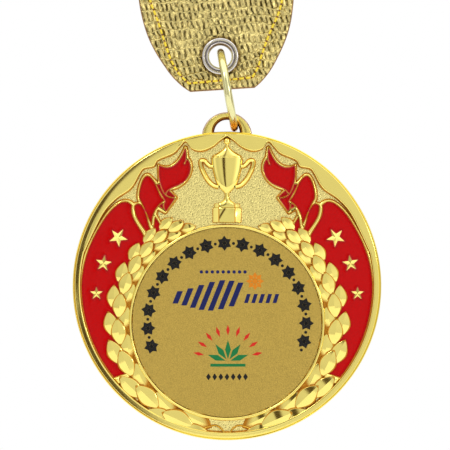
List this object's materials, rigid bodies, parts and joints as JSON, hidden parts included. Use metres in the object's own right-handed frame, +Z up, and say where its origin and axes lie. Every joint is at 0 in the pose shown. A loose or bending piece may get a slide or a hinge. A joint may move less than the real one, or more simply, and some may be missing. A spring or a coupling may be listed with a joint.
{
  "type": "medal",
  "caption": "Round gold award medal with a laurel wreath, a trophy relief, red enamel banners and a printed insert, hung by a round link from an eyelet in a gold leathercloth neck strap",
  "frame": {"origin": "centre of the medal's back face", "axes": "+X to the viewer's right when looking at the medal's front, +Y out of the medal's back, +Z up along the hanging medal towards the strap; the front looks along -Y"},
  "size_m": [0.065, 0.0276, 0.1542],
  "materials": {
    "gold_plate": "polished bright gold plate over a zinc casting, with a sandblasted field",
    "insert_gold": "matte grained gold with printed marks",
    "adhesive": "double-sided tape",
    "pale_gold_wire": "polished pale gold plated wire",
    "nickel": "nickel plated, rolled",
    "gold_leathercloth": "embossed metallic gold leathercloth",
    "tie_band": "woven elastic band",
    "thread": "yellow polyester sewing thread",
    "red_enamel": "glossy soft enamel"
  },
  "bodies": {
    "strap": {"neck_strap": "gold_leathercloth", "strap_tie": "tie_band", "strap_stitching": "thread", "eyelet": "nickel", "eyelet_washer": "nickel"},
    "link": {"hanging_link": "pale_gold_wire"},
    "medal": {"medal_casting": "gold_plate", "insert_disc": "insert_gold", "insert_adhesive": "adhesive", "enamel_right_banner_head": "red_enamel", "enamel_right_fold_upper": "red_enamel", "enamel_right_crossing": "red_enamel", "enamel_right_fold_lower": "red_enamel", "enamel_right_banner_middle": "red_enamel", "enamel_right_banner_inner": "red_enamel", "enamel_right_banner_tail": "red_enamel", "enamel_right_panel": "red_enamel", "enamel_left_banner_head": "red_enamel", "enamel_left_fold_upper": "red_enamel", "enamel_left_crossing": "red_enamel", "enamel_left_fold_lower": "red_enamel", "enamel_left_banner_middle": "red_enamel", "enamel_left_banner_inner": "red_enamel", "enamel_left_banner_tail": "red_enamel", "enamel_left_panel": "red_enamel"}
  },
  "joints": [
    {"name": "link_sway", "type": "hinge", "parent": "strap", "child": "link", "pos_m": [-0.00135, -0.002, 0.04927], "axis": [0, 1, 0], "range_deg": [-40, 40]},
    {"name": "medal_swing", "type": "hinge", "parent": "link", "child": "medal", "pos_m": [0.0001, -0.002, 0.0413], "axis": [0.9839, 0, 0.1788], "range_deg": [-75, 75]}
  ]
}
